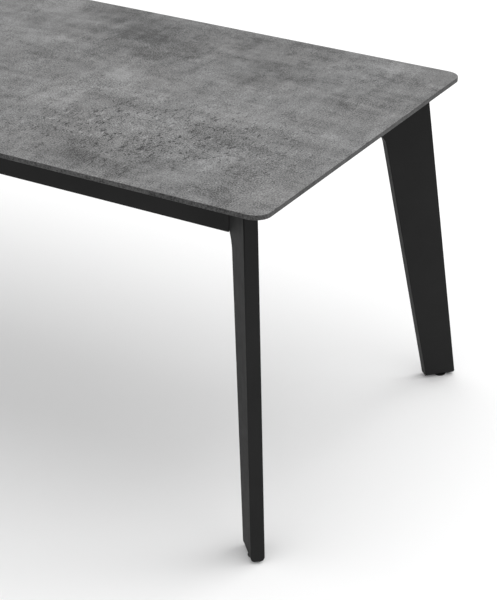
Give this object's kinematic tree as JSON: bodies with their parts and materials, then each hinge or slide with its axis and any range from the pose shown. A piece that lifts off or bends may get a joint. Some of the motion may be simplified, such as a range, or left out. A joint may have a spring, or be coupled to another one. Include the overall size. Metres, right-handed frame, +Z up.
{
  "type": "extendable dining table",
  "caption": "Dining table with a thin stone-look top, diagonal black blade legs, pull-out carriages at both ends and stored extension leaves.",
  "frame": {"origin": "on the floor, under the centre of the top", "axes": "+X along the length of the table to its right end, +Y across it to the back, +Z up"},
  "size_m": [1.8478, 0.9564, 0.758],
  "materials": {
    "stone_laminate": "mottled mid grey concrete look laminate, clustered fine pits and faint scratches, satin",
    "black_lacquer": "smooth satin black lacquer over wood",
    "aluminium": "natural anodised extrusion",
    "zinc_steel": "zinc plated screws",
    "black_steel": "fine textured black powder coat",
    "black_nylon": "matte black moulded nylon",
    "beech": "planed beech, unvarnished"
  },
  "bodies": {
    "frame": {"tabletop": "stone_laminate", "centre_batten": "beech", "leg_right_front": "black_lacquer", "leg_right_back": "black_lacquer", "leg_left_front": "black_lacquer", "leg_left_back": "black_lacquer", "side_rail_front": "black_lacquer", "side_rail_back": "black_lacquer", "end_rail_right": "black_lacquer", "end_rail_left": "black_lacquer", "corner_fitting_right_front": "aluminium", "corner_fitting_right_back": "aluminium", "corner_fitting_left_front": "aluminium", "corner_fitting_left_back": "aluminium", "leg_bolt_right_front_1": "zinc_steel", "leg_bolt_right_front_2": "zinc_steel", "leg_bolt_right_back_1": "zinc_steel", "leg_bolt_right_back_2": "zinc_steel", "leg_bolt_left_front_1": "zinc_steel", "leg_bolt_left_front_2": "zinc_steel", "leg_bolt_left_back_1": "zinc_steel", "leg_bolt_left_back_2": "zinc_steel", "guide_right_front": "aluminium", "guide_right_back": "aluminium", "guide_left_front": "aluminium", "guide_left_back": "aluminium", "guide_stop_right_front": "black_nylon", "guide_stop_right_back": "black_nylon", "guide_stop_left_front": "black_nylon", "guide_stop_left_back": "black_nylon", "magazine_front": "aluminium", "magazine_back": "aluminium", "bearer_1": "black_steel", "bearer_2": "black_steel", "bearer_3": "black_steel", "bearer_4": "black_steel", "button_screw_right_front": "zinc_steel", "button_screw_right_back": "zinc_steel", "button_screw_left_front": "zinc_steel", "button_screw_left_back": "zinc_steel"},
    "carriage_right": {"pull_bar_right": "black_lacquer", "arm_right_front": "black_steel", "arm_right_back": "black_steel", "arm_cap_right_front": "black_nylon", "arm_cap_right_back": "black_nylon"},
    "carriage_left": {"pull_bar_left": "black_lacquer", "arm_left_front": "black_steel", "arm_left_back": "black_steel", "arm_cap_left_front": "black_nylon", "arm_cap_left_back": "black_nylon"},
    "leaf_right": {"leaf_right": "stone_laminate"},
    "leaf_left": {"leaf_left": "stone_laminate"},
    "turn_button_right_front": {"turn_button_right_front": "black_steel"},
    "turn_button_right_back": {"turn_button_right_back": "black_steel"},
    "turn_button_left_front": {"turn_button_left_front": "black_steel"},
    "turn_button_left_back": {"turn_button_left_back": "black_steel"},
    "foot_right_front": {"foot_right_front": "black_nylon"},
    "foot_right_back": {"foot_right_back": "black_nylon"},
    "foot_left_front": {"foot_left_front": "black_nylon"},
    "foot_left_back": {"foot_left_back": "black_nylon"}
  },
  "joints": [
    {"name": "carriage_right_slide", "type": "slide", "parent": "frame", "child": "carriage_right", "axis": [1, 0, 0], "range_m": [0, 0.5]},
    {"name": "carriage_left_slide", "type": "slide", "parent": "frame", "child": "carriage_left", "axis": [-1, 0, 0], "range_m": [0, 0.5]},
    {"name": "leaf_right_slide", "type": "slide", "parent": "frame", "child": "leaf_right", "axis": [1, 0, 0], "range_m": [0, 0.65]},
    {"name": "leaf_left_slide", "type": "slide", "parent": "frame", "child": "leaf_left", "axis": [-1, 0, 0], "range_m": [0, 0.65]},
    {"name": "turn_button_right_front_swing", "type": "hinge", "parent": "frame", "child": "turn_button_right_front", "pos_m": [0.872, -0.345, 0.7442], "axis": [0, 0, -1], "range_deg": [0, 90]},
    {"name": "turn_button_right_back_swing", "type": "hinge", "parent": "frame", "child": "turn_button_right_back", "pos_m": [0.872, 0.345, 0.7442], "axis": [0, 0, 1], "range_deg": [0, 90]},
    {"name": "turn_button_left_front_swing", "type": "hinge", "parent": "frame", "child": "turn_button_left_front", "pos_m": [-0.872, -0.345, 0.7442], "axis": [0, 0, 1], "range_deg": [0, 90]},
    {"name": "turn_button_left_back_swing", "type": "hinge", "parent": "frame", "child": "turn_button_left_back", "pos_m": [-0.872, 0.345, 0.7442], "axis": [0, 0, -1], "range_deg": [0, 90]},
    {"name": "foot_right_front_turn", "type": "hinge", "parent": "frame", "child": "foot_right_front", "pos_m": [0.89221, -0.44561, 0], "axis": [0, 0, 1], "continuous": true},
    {"name": "foot_right_back_turn", "type": "hinge", "parent": "frame", "child": "foot_right_back", "pos_m": [0.89221, 0.44561, 0], "axis": [0, 0, 1], "continuous": true},
    {"name": "foot_left_front_turn", "type": "hinge", "parent": "frame", "child": "foot_left_front", "pos_m": [-0.89221, -0.44561, 0], "axis": [0, 0, 1], "continuous": true},
    {"name": "foot_left_back_turn", "type": "hinge", "parent": "frame", "child": "foot_left_back", "pos_m": [-0.89221, 0.44561, 0], "axis": [0, 0, 1], "continuous": true}
  ]
}
